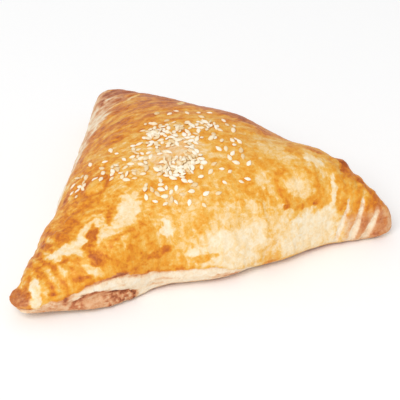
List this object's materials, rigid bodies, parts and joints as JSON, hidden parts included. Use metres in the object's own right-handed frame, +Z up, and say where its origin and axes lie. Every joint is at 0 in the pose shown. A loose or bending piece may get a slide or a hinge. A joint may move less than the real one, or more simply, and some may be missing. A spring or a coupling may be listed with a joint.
{
  "type": "samsa",
  "caption": "Triangular baked pastry parcel: plump crust domed over a hidden filling, pinched blunt corners, layered sides, folded flat underside, sesame-topped.",
  "frame": {"origin": "middle of the footprint's bounding box, on the flat underside", "axes": "+Z up through the crust, +X along the front edge from the thin left corner to the tall right corner, +Y towards the back corner"},
  "size_m": [0.1484, 0.1244, 0.0407],
  "materials": {
    "crust": "baked flaky dough, egg-washed: satin golden brown on top, matt pale cream where unwashed"
  },
  "bodies": {
    "root": {"pastry": "crust"}
  },
  "joints": []
}
